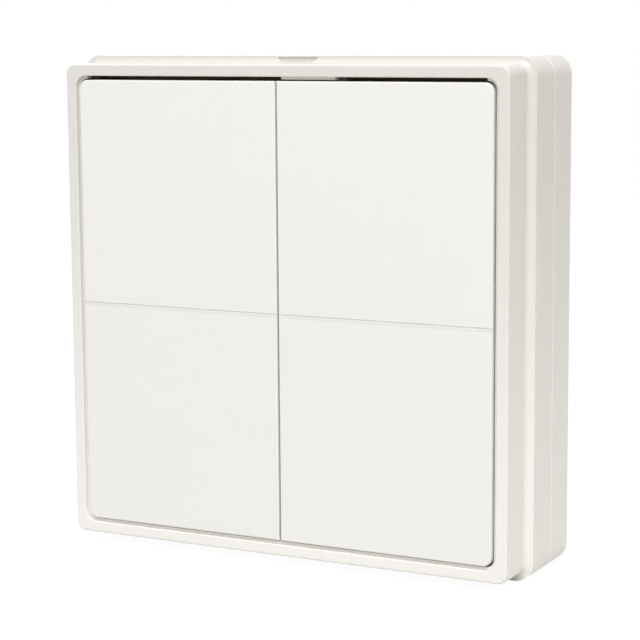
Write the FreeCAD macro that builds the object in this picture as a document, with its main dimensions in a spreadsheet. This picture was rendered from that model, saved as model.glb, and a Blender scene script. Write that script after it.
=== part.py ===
import FreeCAD, Part
import math
import os
import Sketcher

# Battery powered wireless wall switch: a square box on the wall, a frame on its front and two
# rockers in the frame, each pressed at its top or its bottom.
# Frame of reference: the origin is the middle of the wall face, +X to the right and +Z up as seen
# by the person who presses it, and +Y into the wall. Heights are counted from the wall towards
# that person, so a height of 10 lies at y = -10.

# Driving sizes in millimetres
SIZES = {
    # Outline of the box and the frame
    "box_side": 86.0,
    "box_corner": 3.3,
    "overall_depth": 24.0,
    "seam_height": 8.1,
    "shoulder_rise": 3.4,
    "shoulder_width": 1.4,
    "flange_thickness": 0.8,
    "neck_corner": 1.6,
    "cove_radius": 1.0,
    "rim_width": 2.0,
    "opening_corner": 2.0,
    "rim_round": 0.4,
    "lip_round": 0.2,
    "seam_chamfer": 0.25,
    "wall_chamfer": 0.5,
    # Ledge inside the frame's opening, behind the gap round the rockers
    "reveal_depth": 0.7,
    "reveal_tall": 1.2,
    "reveal_clearance": 0.25,
    # Pry recess in the top of the shoulder
    "pry_width": 7.6,
    "pry_foot_width": 6.2,
    "pry_tall": 0.85,
    "pry_edge": 0.3,
    "pry_depth": 0.25,
    # Walls and the joints between the mouldings
    "base_wall": 1.8,
    "base_floor": 1.6,
    "housing_wall": 2.0,
    "fit_clearance": 0.1,
    "tongue_depth": 2.0,
    "skirt_wall": 1.2,
    "skirt_depth": 1.6,
    "skirt_root": 1.6,
    "frame_barb_width": 12.0,
    "frame_barb_proud": 0.4,
    "frame_barb_tall": 0.8,
    "frame_barb_drop": 0.8,
    "hook_width": 8.0,
    "hook_spacing": 40.0,
    "hook_reach": 4.6,
    "hook_barb_proud": 0.5,
    "hook_barb_tall": 1.0,
    # Fixing slots in the wall base, and the saddles under the cells
    "slot_spacing": 60.3,
    "slot_width": 4.2,
    "slot_length": 8.0,
    "slot_pad_margin": 1.8,
    "slot_pad_height": 0.6,
    "saddle_spacing": 24.0,
    "saddle_thickness": 1.2,
    "saddle_height": 2.6,
    # Deck that carries the circuit board
    "deck_height": 12.6,
    "deck_thickness": 1.6,
    "deck_rooting": 0.5,
    "deck_margin": 12.0,
    "deck_corner": 3.0,
    "least_notch": 0.5,
    # Rockers
    "key_gap": 0.7,
    "rocker_gap": 0.35,
    "rocker_plate": 2.0,
    "rocker_corner": 1.6,
    "rocker_round": 0.25,
    "rocker_skirt_wall": 1.2,
    "rocker_skirt_drop": 1.6,
    "rocker_rib_wall": 1.0,
    "rocker_rib_drop": 0.9,
    "rocker_rib_offset": 9.0,
    "groove_width": 0.36,
    "groove_depth": 0.16,
    # Rocker hinge
    "hinge_drop": 4.2,
    "rocker_swing": 1.5,
    "pin_radius": 0.9,
    "pin_length": 2.4,
    "pin_clearance": 0.05,
    "clip_wall": 0.8,
    "clip_thickness": 2.0,
    "clip_mouth": 1.4,
    "clip_mouth_depth": 0.75,
    "clip_side_gap": 0.2,
    "ear_width": 3.0,
    "ear_depth": 4.0,
    "ear_over_pin": 0.3,
    "ear_inset": 2.4,
    # Carrier
    "carrier_gap": 0.25,
    "carrier_corner": 1.8,
    "carrier_thickness": 1.3,
    "lug_offset": 5.8,
    "lug_width": 10.0,
    "lug_reach": 2.0,
    "lug_clearance": 0.2,
    "window_clearance": 0.4,
    "driver_clearance": 1.0,
    "screw_to_deck_edge": 2.0,
    "boss_radius": 2.6,
    "boss_rise": 1.2,
    # Stop pads under the ends of the rockers
    "pad_length": 5.0,
    "pad_width": 1.6,
    "pad_landing_gap": 0.19,
    "pad_to_lug": 0.9,
    "pad_edge": 0.4,
    # Circuit board
    "board_margin": 7.0,
    "board_corner": 2.0,
    "board_thickness": 1.0,
    # Tactile switches
    "switch_to_board_edge": 12.0,
    "switch_side": 6.2,
    "switch_body_height": 2.8,
    "switch_wall": 0.55,
    "switch_floor": 0.5,
    "switch_cover": 0.5,
    "switch_leg_width": 2.0,
    "switch_leg_wall": 0.3,
    "stem_radius": 1.7,
    "stem_flange_radius": 2.35,
    "stem_flange_height": 1.45,
    "stem_flange_thickness": 0.5,
    "stem_bore_radius": 1.2,
    "stem_roof": 0.8,
    "stem_clearance": 0.08,
    "spring_radius": 0.85,
    "spring_wire_radius": 0.12,
    "spring_turns": 6.0,
    "spring_end_gap": 0.03,
    "nib_radius": 1.6,
    "nib_round": 1.2,
    "contact_gap": 0.05,
    # Cells, their holder and contacts
    "cell_radius": 5.25,
    "cell_length": 44.5,
    "cell_round": 0.4,
    "nub_radius": 1.9,
    "nub_length": 0.8,
    "cell_board_gap": 0.3,
    "bay_clearance": 0.3,
    "bay_divider": 1.0,
    "holder_wall": 1.2,
    "holder_below_axis": 1.45,
    "holder_tab_reach": 5.6,
    "tab_clearance": 0.3,
    "holder_tab_width": 4.4,
    "holder_tab_drop": 4.6,
    "holder_screw_inset": 2.3,
    "contact_thickness": 0.4,
    "contact_width": 8.0,
    "contact_height": 8.6,
    "bridge_width": 0.8,
    "cell_end_play": 0.05,
    "cell_spring_length": 3.7,
    "cell_spring_radius": 3.0,
    "cell_spring_wire_radius": 0.3,
    "cell_spring_turns": 3.0,
    # Screws
    "carrier_screw_radius": 1.1,
    "carrier_screw_head_radius": 2.0,
    "carrier_screw_head": 1.3,
    "carrier_screw_length": 5.6,
    "holder_screw_radius": 0.9,
    "holder_screw_head_radius": 1.6,
    "holder_screw_head": 0.9,
    "holder_screw_length": 4.4,
    "screw_clearance": 0.15,
    "thread_clearance": 0.02,
    "recess_width": 0.5,
    "recess_length": 2.0,
    "recess_depth": 0.6,
    # Radio module and the other parts on the back of the board
    "module_x": -16.0,
    "module_length": 18.0,
    "module_width": 12.5,
    "module_thickness": 0.8,
    "shield_length": 10.5,
    "shield_width": 10.5,
    "shield_height": 1.8,
    "shield_wall": 0.2,
    "shield_round": 0.3,
    "shield_offset": 2.7,
    "antenna_length": 5.0,
    "antenna_width": 2.0,
    "antenna_height": 1.2,
    "antenna_offset": 5.6,
    "capacitor_x": 13.0,
    "capacitor_radius": 3.15,
    "capacitor_height": 5.4,
    "capacitor_base": 6.6,
    "capacitor_base_height": 0.8,
    "crystal_x": 23.0,
    "crystal_radius": 1.0,
    "crystal_length": 6.0,
    "pairing_x": 21.0,
    "pairing_side": 4.5,
    "pairing_body_height": 2.4,
    "pairing_travel": 0.25,
    "pairing_stem_radius": 1.0,
    "pairing_stem_height": 3.6,
    "pairing_flange_radius": 1.5,
    "pairing_rest_gap": 0.25,
    "pairing_flange_thickness": 0.4,
    "pairing_wall": 0.5,
    "pairing_floor": 0.4,
    "pairing_cover": 0.4,
    "pairing_cover_gap": 0.02,
    "led_x": 11.0,
    "led_length": 3.0,
    "led_width": 1.5,
    "led_base": 0.5,
    "led_lens": 0.6,
    "chip_x": -25.0,
    "chip_pitch": 4.0,
    "chip_row": 4.0,
    "chip_length": 2.0,
    "chip_width": 1.25,
    "chip_height": 0.6,
}

doc = FreeCAD.newDocument("button_switch")
sheet = doc.addObject("Spreadsheet::Sheet", "Sizes")
for row, (name, number) in enumerate(SIZES.items(), start=1):
    sheet.set(f"A{row}", name)
    sheet.set(f"B{row}", str(number))
    sheet.setAlias(f"B{row}", name)
doc.recompute()


class Length:
    """A number together with the sheet formula that it comes from."""

    def __init__(self, number, formula):
        self.number = float(number)
        self.formula = formula

    def joined(self, sign, other, number):
        return Length(number, f"({self.formula} {sign} {length(other).formula})")

    def __add__(self, other):
        return self.joined("+", other, self.number + length(other).number)

    def __sub__(self, other):
        return self.joined("-", other, self.number - length(other).number)

    def __mul__(self, other):
        return self.joined("*", other, self.number * length(other).number)

    def __truediv__(self, other):
        return self.joined("/", other, self.number / length(other).number)

    def __neg__(self):
        return self * -1


def length(value):
    return value if isinstance(value, Length) else Length(value, repr(float(value)))


class Sheet:
    """Each size in the sheet by its name."""

    def __getattr__(self, name):
        return Length(SIZES[name], "Sizes." + name)


s = Sheet()


def bind(thing, place, value):
    thing.setExpression(place, length(value).formula)


# Sketch outlines. On a face plane the two directions are X and Z; on a side plane, made with
# role "YZ_Plane", they are Y and Z, so a height goes in with its sign turned.


def dimension(sketch, kind, element, point, value):
    value = length(value)
    index = sketch.addConstraint(Sketcher.Constraint(kind, -1, 1, element, point, value.number))
    bind(sketch, f"Constraints[{index}]", value)


def polygon(sketch, corners):
    first = sketch.GeometryCount
    count = len(corners)
    points = [FreeCAD.Vector(length(a).number, length(b).number, 0) for a, b in corners]
    for i in range(count):
        sketch.addGeometry(Part.LineSegment(points[i], points[(i + 1) % count]), False)
    for i in range(count):
        after = first + (i + 1) % count
        sketch.addConstraint(Sketcher.Constraint("Coincident", first + i, 2, after, 1))
    for i, (a, b) in enumerate(corners):
        dimension(sketch, "DistanceX", first + i, 1, a)
        dimension(sketch, "DistanceY", first + i, 1, b)


def rectangle(sketch, left, right, bottom, top):
    polygon(sketch, [(left, bottom), (right, bottom), (right, top), (left, top)])


def square(sketch, half, x=0, z=0):
    x = length(x)
    z = length(z)
    rectangle(sketch, x - half, x + half, z - half, z + half)


def rounded(sketch, left, right, bottom, top, radius):
    """A rectangle whose corners are arcs, held by tangents."""
    lo_x, hi_x, lo_z, hi_z, r = (length(v).number for v in (left, right, bottom, top, radius))
    first = sketch.GeometryCount
    sides = [
        ((lo_x + r, lo_z), (hi_x - r, lo_z)),
        ((hi_x, lo_z + r), (hi_x, hi_z - r)),
        ((hi_x - r, hi_z), (lo_x + r, hi_z)),
        ((lo_x, hi_z - r), (lo_x, lo_z + r)),
    ]
    centres = [
        (hi_x - r, lo_z + r),
        (hi_x - r, hi_z - r),
        (lo_x + r, hi_z - r),
        (lo_x + r, lo_z + r),
    ]
    for quarter, (side, centre) in enumerate(zip(sides, centres)):
        start, end = (FreeCAD.Vector(*point, 0) for point in side)
        sketch.addGeometry(Part.LineSegment(start, end), False)
        circle = Part.Circle(FreeCAD.Vector(*centre, 0), FreeCAD.Vector(0, 0, 1), r)
        turn = (quarter - 1) * math.pi / 2
        sketch.addGeometry(Part.ArcOfCircle(circle, turn, turn + math.pi / 2), False)
    for i in range(8):
        after = first + (i + 1) % 8
        sketch.addConstraint(Sketcher.Constraint("Tangent", first + i, 2, after, 1))
    for i, kind in enumerate(("Horizontal", "Vertical", "Horizontal", "Vertical")):
        sketch.addConstraint(Sketcher.Constraint(kind, first + 2 * i))
    for i in (3, 5, 7):
        sketch.addConstraint(Sketcher.Constraint("Equal", first + 1, first + i))
    dimension(sketch, "DistanceY", first, 1, bottom)
    dimension(sketch, "DistanceX", first + 2, 1, right)
    dimension(sketch, "DistanceY", first + 4, 1, top)
    dimension(sketch, "DistanceX", first + 6, 1, left)
    index = sketch.addConstraint(Sketcher.Constraint("Radius", first + 1, r))
    bind(sketch, f"Constraints[{index}]", radius)


def rounded_square(sketch, half, radius):
    rounded(sketch, -half, half, -half, half, radius)


def slot(sketch, x, z, full, width, upright):
    """A slot with round ends, centred on x and z; full is its length from end to end."""
    x = length(x)
    z = length(z)
    half = length(width) / 2
    run = length(full) / 2 - half
    turn = math.pi / 2 if upright else 0
    first = sketch.GeometryCount
    up = FreeCAD.Vector(0, 0, 1)
    middle = FreeCAD.Vector(x.number, z.number, 0)
    for end in (0, 1):
        spin = FreeCAD.Rotation(up, math.degrees(turn) + 180 * end)
        start = middle + spin.multVec(FreeCAD.Vector(-run.number, -half.number, 0))
        stop = middle + spin.multVec(FreeCAD.Vector(run.number, -half.number, 0))
        centre = middle + spin.multVec(FreeCAD.Vector(run.number, 0, 0))
        sketch.addGeometry(Part.LineSegment(start, stop), False)
        begin = turn + math.pi * end - math.pi / 2
        arc = Part.ArcOfCircle(Part.Circle(centre, up, half.number), begin, begin + math.pi)
        sketch.addGeometry(arc, False)
    for i in range(4):
        after = first + (i + 1) % 4
        sketch.addConstraint(Sketcher.Constraint("Tangent", first + i, 2, after, 1))
    sketch.addConstraint(Sketcher.Constraint("Equal", first + 1, first + 3))
    for end, side in ((1, 1), (3, -1)):
        dimension(sketch, "DistanceX", first + end, 3, x if upright else x + run * side)
        dimension(sketch, "DistanceY", first + end, 3, z + run * side if upright else z)
    index = sketch.addConstraint(Sketcher.Constraint("Radius", first + 1, half.number))
    bind(sketch, f"Constraints[{index}]", half)


def circle(sketch, radius, x=0, z=0):
    x = length(x)
    z = length(z)
    radius = length(radius)
    centre = FreeCAD.Vector(x.number, z.number, 0)
    index = sketch.addGeometry(Part.Circle(centre, FreeCAD.Vector(0, 0, 1), radius.number), False)
    dimension(sketch, "DistanceX", index, 3, x)
    dimension(sketch, "DistanceY", index, 3, z)
    held = sketch.addConstraint(Sketcher.Constraint("Radius", index, radius.number))
    bind(sketch, f"Constraints[{held}]", radius)


def cross(sketch, width, reach, x, z):
    """A cross recess of four arms."""
    half = width / 2
    tip = reach / 2
    quarter = [(half, tip), (half, half), (tip, half)]
    corners = quarter
    corners = corners + [(a, -b) for a, b in reversed(quarter)]
    corners = corners + [(-a, b) for a, b in reversed(corners)]
    polygon(sketch, [(length(x) + a, length(z) + b) for a, b in corners])


# Features of one moulding or part


def body(name):
    made = doc.addObject("PartDesign::Body", name)
    made.Label = name
    return made


def sketch_on(part, offset, role):
    made = part.newObject("Sketcher::SketchObject", "Outline")
    plane = next(item for item in part.Origin.OriginFeatures if item.Role == role)
    made.AttachmentSupport = (plane, [""])
    made.MapMode = "FlatFace"
    bind(made, "AttachmentOffset.Base.z", offset)
    return made


def pad(part, low, high, draw, role="XZ_Plane"):
    """Add material between two heights, or on a side plane between two places along X."""
    outline = sketch_on(part, low, role)
    draw(outline)
    made = part.newObject("PartDesign::Pad", "Pad")
    made.Profile = outline
    bind(made, "Length", length(high) - low)
    return made


def pocket(part, low, high, draw, role="XZ_Plane"):
    """Cut material away between two heights, or on a side plane between two places along X."""
    outline = sketch_on(part, high, role)
    draw(outline)
    made = part.newObject("PartDesign::Pocket", "Pocket")
    made.Profile = outline
    bind(made, "Length", length(high) - low)
    return made


def dress(part, kind, size_name, size, wanted):
    """Round or chamfer the edges of the part so far whose middle point passes the test."""
    doc.recompute()
    feature = part.Tip
    names = []
    for number, edge in enumerate(feature.Shape.Edges, start=1):
        middle = edge.valueAt((edge.FirstParameter + edge.LastParameter) / 2)
        if wanted(middle.x, middle.z, -middle.y, edge):
            names.append(f"Edge{number}")
    made = part.newObject("PartDesign::" + kind, kind)
    made.Base = (feature, names)
    bind(made, size_name, size)
    return made


def fillet(part, radius, wanted):
    return dress(part, "Fillet", "Radius", radius, wanted)


def chamfer(part, size, wanted):
    return dress(part, "Chamfer", "Size", size, wanted)


def near(a, b):
    return abs(a - length(b).number) < 0.01


def on_outline(x, z, half, corner):
    """Whether a point lies on the outline of a rounded square."""
    inset = half.number - corner.number
    return near(math.hypot(max(abs(x) - inset, 0), max(abs(z) - inset, 0)), corner)


def straight(edge):
    return isinstance(edge.Curve, Part.Line)


def in_order(a, b):
    """Two places in rising order."""
    return (a, b) if a.number < b.number else (b, a)


def least(a, b):
    """The smaller of two lengths."""
    return Length(min(a.number, b.number), f"min({a.formula}; {b.formula})")


def most(a, b):
    """The larger of two lengths."""
    return Length(max(a.number, b.number), f"max({a.formula}; {b.formula})")


def sine(angle):
    """The sine of an angle in degrees."""
    return Length(math.sin(math.radians(angle.number)), f"sin({angle.formula} * 1 deg)")


def place(part, x=0, z=0, height=0, turn=0):
    """Move a part that is drawn about its own origin; a turn of 180 makes it face the wall."""
    part.Placement.Rotation = FreeCAD.Rotation(FreeCAD.Vector(0, 0, 1), turn)
    bind(part, "Placement.Base.x", x)
    bind(part, "Placement.Base.y", -length(height))
    bind(part, "Placement.Base.z", z)


BOTH = (-1, 1)

# How far a cut runs past an open edge
PAST = 1.0

# The most of a nib's length that its rounded end may take
NIB_ROUND_SHARE = 0.7

# Chips in each of their two rows
CHIP_COLUMNS = 6

# Places that several parts share: first across the face
box_half = s.box_side / 2
neck_half = box_half - s.shoulder_width
opening_half = neck_half - s.rim_width
housing_inner = box_half - s.housing_wall
tongue_half = housing_inner - s.fit_clearance
skirt_half = box_half - s.base_wall - s.fit_clearance
board_half = box_half - s.board_margin
switch_drop = board_half - s.switch_to_board_edge
deck_half = box_half - s.deck_margin
screw_half = deck_half + s.screw_to_deck_edge
key_half = opening_half - s.key_gap
rocker_inner = s.rocker_gap / 2
rocker_middle = (key_half + rocker_inner) / 2
carrier_half = opening_half - s.carrier_gap
reveal_half = key_half + s.reveal_clearance
lug_left = s.lug_offset - s.lug_width / 2
lug_right = s.lug_offset + s.lug_width / 2
lug_end = opening_half - s.lug_reach
pad_offset = rocker_middle - lug_right - s.pad_to_lug - s.pad_length / 2
bay_offset = s.cell_radius + s.bay_clearance + s.bay_divider / 2
holder_half = (s.cell_length + s.cell_spring_length) / 2 + s.contact_thickness + s.cell_end_play
holder_end = holder_half + s.holder_wall
holder_screw_x = holder_end + s.holder_screw_inset
holder_top = bay_offset + s.cell_radius + s.bay_clearance + s.holder_wall
parts_row = (holder_top + deck_half) / 2
screw_corners = [(screw_half * a, screw_half * b) for a in BOTH for b in BOTH]
hook_places = [(s.hook_spacing / 2 * a, b) for a in BOTH for b in BOTH]

# Then up from the wall
skirt_low = s.seam_height - s.skirt_depth
hook_low = s.seam_height - s.hook_reach
cell_height = s.deck_height - s.cell_board_gap - s.cell_radius
holder_low = cell_height - s.holder_below_axis
board_front = s.deck_height + s.board_thickness
shoulder_height = s.deck_height + s.shoulder_rise
seat_height = shoulder_height - s.flange_thickness
frame_barb_high = seat_height - s.frame_barb_drop
rocker_back = s.overall_depth - s.rocker_plate
rocker_skirt_low = rocker_back - s.rocker_skirt_drop
hinge_height = s.overall_depth - s.hinge_drop
rocker_end_travel = key_half * sine(s.rocker_swing)
pad_top = rocker_skirt_low - rocker_end_travel - s.pad_landing_gap
carrier_height = (board_front + pad_top + s.carrier_thickness) / 2
carrier_back = carrier_height - s.carrier_thickness
boss_top = carrier_height + s.boss_rise
ear_top = hinge_height + s.pin_radius + s.ear_over_pin
switch_top = board_front + s.switch_body_height + s.switch_cover
stem_top = (switch_top + rocker_back) / 2
nib_low = stem_top + s.contact_gap


def wall_base():
    """The back half of the box, screwed to the wall or to a wall box."""
    part = body("wall_base")
    inner = box_half - s.base_wall
    pad(part, 0, s.seam_height, lambda k: rounded_square(k, box_half, s.box_corner))
    cavity_corner = s.box_corner - s.base_wall
    pocket(
        part, s.base_floor, s.seam_height, lambda k: rounded_square(k, inner, cavity_corner)
    )

    def slots(k, margin):
        away = s.slot_spacing / 2
        full = s.slot_length + margin * 2
        width = s.slot_width + margin * 2
        for a in BOTH:
            slot(k, away * a, 0, full, width, False)
            slot(k, 0, away * a, full, width, True)

    slot_top = s.base_floor + s.slot_pad_height
    pad(part, s.base_floor, slot_top, lambda k: slots(k, s.slot_pad_margin))
    pocket(part, 0, slot_top, lambda k: slots(k, length(0)))

    def saddles(k):
        half = s.saddle_thickness / 2
        across = bay_offset + s.cell_radius
        for a in BOTH:
            middle = s.saddle_spacing / 2 * a
            rectangle(k, middle - half, middle + half, -across, across)

    pad(part, s.base_floor, s.base_floor + s.saddle_height, saddles)

    def cells(k):
        for a in BOTH:
            circle(k, s.cell_radius + s.fit_clearance, -cell_height, bay_offset * a)

    pocket(part, -holder_half, holder_half, cells, "YZ_Plane")

    def catches(k):
        wide = s.hook_width / 2 + s.fit_clearance
        deep = skirt_half + s.hook_barb_proud + s.fit_clearance
        for x, b in hook_places:
            rectangle(k, x - wide, x + wide, inner * b, deep * b)

    catch_low = hook_low - s.fit_clearance
    catch_high = hook_low + s.hook_barb_tall + s.fit_clearance
    pocket(part, catch_low, catch_high, catches)
    for height, size in ((length(0), s.wall_chamfer), (s.seam_height, s.seam_chamfer)):
        chamfer(
            part,
            size,
            lambda x, z, h, e: near(h, height) and on_outline(x, z, box_half, s.box_corner),
        )


def front_housing():
    """The front half of the box: a square tube with a deck for the circuit board."""
    part = body("front_housing")
    pad(part, s.seam_height, seat_height, lambda k: rounded_square(k, box_half, s.box_corner))
    inner_corner = s.box_corner - s.housing_wall
    pocket(
        part,
        s.seam_height,
        seat_height,
        lambda k: rounded_square(k, housing_inner, inner_corner),
    )

    def deck(k):
        rounded_square(k, housing_inner + s.deck_rooting, inner_corner)
        rounded_square(k, deck_half, s.deck_corner)

    pad(part, s.deck_height - s.deck_thickness, s.deck_height, deck)

    def tab_notches(k):
        tab_end = holder_end + s.holder_tab_reach
        far = most(tab_end + s.tab_clearance, deck_half + s.least_notch)
        wide = s.holder_tab_width / 2 + s.tab_clearance
        rectangle(k, -far, far, -wide, wide)

    pocket(part, s.deck_height - s.deck_thickness, s.deck_height, tab_notches)

    def skirt(k):
        rounded_square(k, skirt_half, s.box_corner - s.base_wall - s.fit_clearance)
        inner = skirt_half - s.skirt_wall
        rounded_square(k, inner, s.box_corner - s.base_wall - s.skirt_wall)

    pad(part, skirt_low, s.seam_height + s.skirt_root, skirt)

    def hooks(k, tip):
        half = s.hook_width / 2
        root = skirt_half - s.skirt_wall
        for x, b in hook_places:
            rectangle(k, x - half, x + half, root * b, tip * b)

    barb_tip = skirt_half + s.hook_barb_proud
    pad(part, hook_low, skirt_low, lambda k: hooks(k, skirt_half))
    pad(part, hook_low, hook_low + s.hook_barb_tall, lambda k: hooks(k, barb_tip))

    def screw_holes(k):
        for x, z in screw_corners:
            circle(k, s.carrier_screw_radius + s.screw_clearance, x, z)

    pocket(part, s.deck_height - s.deck_thickness, s.deck_height, screw_holes)

    def latch_grooves(k):
        half = s.frame_barb_width / 2 + s.fit_clearance
        deep = tongue_half + s.frame_barb_proud + s.fit_clearance
        for low, high in ((-deep, -housing_inner), (housing_inner, deep)):
            rectangle(k, -half, half, low, high)
            rectangle(k, low, high, -half, half)

    groove_high = frame_barb_high + s.fit_clearance
    groove_low = frame_barb_high - s.frame_barb_tall - s.fit_clearance
    pocket(part, groove_low, groove_high, latch_grooves)
    chamfer(
        part,
        s.seam_chamfer,
        lambda x, z, h, e: near(h, s.seam_height) and on_outline(x, z, box_half, s.box_corner),
    )


def front_frame():
    """The frame round the rockers: a rim, its neck, and a flange that the neck flares out to.

    A pale ledge lies behind the gap round the rockers, but leaves the top open apart from a lug.
    The lug sits in a notch of the carrier, off the middle, so the frame fits one way up only.
    """
    part = body("front_frame")
    pad(part, seat_height, shoulder_height, lambda k: rounded_square(k, box_half, s.box_corner))
    pad(
        part,
        shoulder_height,
        s.overall_depth,
        lambda k: rounded_square(k, neck_half, s.neck_corner),
    )
    fillet(
        part,
        s.cove_radius,
        lambda x, z, h, e: near(h, shoulder_height)
        and on_outline(x, z, neck_half, s.neck_corner),
    )
    pad(
        part,
        seat_height - s.tongue_depth,
        seat_height,
        lambda k: rounded_square(k, tongue_half, s.box_corner - s.housing_wall),
    )
    pocket(
        part,
        seat_height - s.tongue_depth,
        s.overall_depth,
        lambda k: rounded_square(k, opening_half, s.opening_corner),
    )

    def barbs(k):
        half = s.frame_barb_width / 2
        root = tongue_half - s.frame_barb_proud
        tip = tongue_half + s.frame_barb_proud
        for low, high in ((-tip, -root), (root, tip)):
            rectangle(k, -half, half, low, high)
            rectangle(k, low, high, -half, half)

    pad(part, frame_barb_high - s.frame_barb_tall, frame_barb_high, barbs)

    def lug(k):
        rectangle(k, lug_left, lug_right, lug_end, opening_half + s.rim_width / 2)

    pad(part, carrier_back, pad_top, lug)

    def ledge(k):
        rounded_square(k, opening_half + s.rim_width / 2, s.opening_corner)
        rounded_square(k, reveal_half, s.opening_corner - (opening_half - reveal_half))

    def open_top(k):
        end = opening_half - s.opening_corner
        rectangle(k, -end, lug_left, reveal_half - PAST, opening_half)
        rectangle(k, lug_right, end, reveal_half - PAST, opening_half)

    ledge_top = s.overall_depth - s.reveal_depth
    pad(part, ledge_top - s.reveal_tall, ledge_top, ledge)
    pocket(part, ledge_top - s.reveal_tall, ledge_top, open_top)

    def pry_recess(k):
        top = box_half - s.pry_edge
        foot = top - s.pry_tall
        wide = s.pry_width / 2
        narrow = s.pry_foot_width / 2
        polygon(k, [(-narrow, foot), (narrow, foot), (wide, top), (-wide, top)])

    pocket(part, shoulder_height - s.pry_depth, shoulder_height + s.cove_radius, pry_recess)
    rim_edges = (
        (s.rim_round, neck_half, s.neck_corner),
        (s.lip_round, opening_half, s.opening_corner),
    )
    for radius, half, corner in rim_edges:
        fillet(
            part,
            radius,
            lambda x, z, h, e: near(h, s.overall_depth) and on_outline(x, z, half, corner),
        )


def rocker(name, side):
    """One full-height rocker; side is -1 for the left one and 1 for the right one."""
    part = body(name)
    left, right = in_order(rocker_inner * side, key_half * side)
    pad(part, rocker_back, s.overall_depth, lambda k: rectangle(k, left, right, -key_half, key_half))

    def skirt(k):
        rectangle(k, left, right, -key_half, key_half)
        wall = s.rocker_skirt_wall
        rectangle(k, left + wall, right - wall, -(key_half - wall), key_half - wall)

    pad(part, rocker_skirt_low, rocker_back, skirt)
    fillet(
        part,
        s.rocker_corner,
        lambda x, z, h, e: straight(e) and near(abs(x), key_half) and near(abs(z), key_half),
    )

    def ribs(k):
        inside = key_half - s.rocker_skirt_wall / 2
        for a in BOTH:
            middle = rocker_middle * side + s.rocker_rib_offset * a
            half = s.rocker_rib_wall / 2
            rectangle(k, middle - half, middle + half, -inside, inside)

    pad(part, rocker_back - s.rocker_rib_drop, rocker_back, ribs)

    def nibs(k):
        for a in BOTH:
            circle(k, s.nib_radius, rocker_middle * side, switch_drop * a)

    pad(part, nib_low, rocker_back, nibs)
    round_off = least(s.nib_round, (rocker_back - nib_low) * NIB_ROUND_SHARE)
    fillet(part, round_off, lambda x, z, h, e: near(h, nib_low) and not straight(e))
    clip_radius = s.pin_radius + s.pin_clearance + s.clip_wall
    clip_low = hinge_height - s.clip_mouth_depth
    for start, end in clip_spans:
        low, high = in_order(start * side, end * side)
        pad(
            part,
            low,
            high,
            lambda k: rectangle(k, -rocker_back, -clip_low, -clip_radius, clip_radius),
            "YZ_Plane",
        )
        pocket(
            part,
            low,
            high,
            lambda k: circle(k, s.pin_radius + s.pin_clearance, -hinge_height, 0),
            "YZ_Plane",
        )
        mouth = s.clip_mouth / 2
        pocket(
            part,
            low,
            high,
            lambda k: rectangle(k, -hinge_height, -clip_low, -mouth, mouth),
            "YZ_Plane",
        )

    fillet(part, s.rocker_round, lambda x, z, h, e: near(h, s.overall_depth))

    def groove(k):
        half = s.groove_width / 2
        front = -s.overall_depth
        polygon(k, [(front, half), (front, -half), (front + s.groove_depth, 0)])

    pocket(part, left, right, groove, "YZ_Plane")


# Hinge stations along X, counted outwards from the middle: each ear holds a pin that reaches
# into the clip beside it, and the two clips of a rocker lie between its two ears.
inner_ear = (s.ear_inset, s.ear_inset + s.ear_width)
outer_ear = (key_half - s.ear_inset - s.ear_width, key_half - s.ear_inset)
inner_clip = (inner_ear[1] + s.clip_side_gap, inner_ear[1] + s.clip_side_gap + s.clip_thickness)
outer_clip = (outer_ear[0] - s.clip_side_gap - s.clip_thickness, outer_ear[0] - s.clip_side_gap)
clip_spans = (inner_clip, outer_clip)
pin_spans = (
    (inner_ear[1] - s.ear_width / 2, inner_ear[1] + s.pin_length),
    (outer_ear[0] - s.pin_length, outer_ear[0] + s.ear_width / 2),
)


def rocker_carrier():
    """The dark plate behind the rockers, with their hinge pins and a window for each switch."""
    part = body("rocker_carrier")
    pad(
        part,
        carrier_back,
        carrier_height,
        lambda k: rounded_square(k, carrier_half, s.carrier_corner),
    )

    def bosses(k):
        for x, z in screw_corners:
            circle(k, s.boss_radius, x, z)

    pad(part, board_front, boss_top, bosses)

    def windows(k):
        half = s.switch_side / 2 + s.switch_leg_wall + s.window_clearance
        for a in BOTH:
            for b in BOTH:
                square(k, half, rocker_middle * a, switch_drop * b)

    pocket(part, carrier_back, carrier_height, windows)

    def notch(k):
        gap = s.lug_clearance
        rectangle(k, lug_left - gap, lug_right + gap, lug_end - gap, carrier_half + PAST)

    pocket(part, carrier_back, carrier_height, notch)

    def driver_holes(k):
        for a in BOTH:
            circle(k, s.holder_screw_head_radius + s.driver_clearance, holder_screw_x * a, 0)

    pocket(part, carrier_back, carrier_height, driver_holes)

    def pilot_holes(k):
        for x, z in screw_corners:
            circle(k, s.carrier_screw_radius + s.thread_clearance, x, z)

    pocket(part, board_front, boss_top, pilot_holes)

    def ears(k):
        half = s.ear_depth / 2
        for start, end in (inner_ear, outer_ear):
            rectangle(k, -end, -start, -half, half)
            rectangle(k, start, end, -half, half)

    pad(part, carrier_height, ear_top, ears)
    for start, end in pin_spans:
        for low, high in ((-end, -start), (start, end)):
            pad(part, low, high, lambda k: circle(k, s.pin_radius, -hinge_height, 0), "YZ_Plane")


def stop_pads():
    """Elastomer pads that the ends of the rockers land on."""
    part = body("stop_pads")

    def outline(k):
        outer = carrier_half - s.pad_edge
        for a in BOTH:
            for b in BOTH:
                x = rocker_middle * a + pad_offset * b
                half = s.pad_length / 2
                rectangle(k, x - half, x + half, outer - s.pad_width, outer)
                rectangle(k, x - half, x + half, -outer, s.pad_width - outer)

    pad(part, carrier_height, pad_top, outline)


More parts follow.
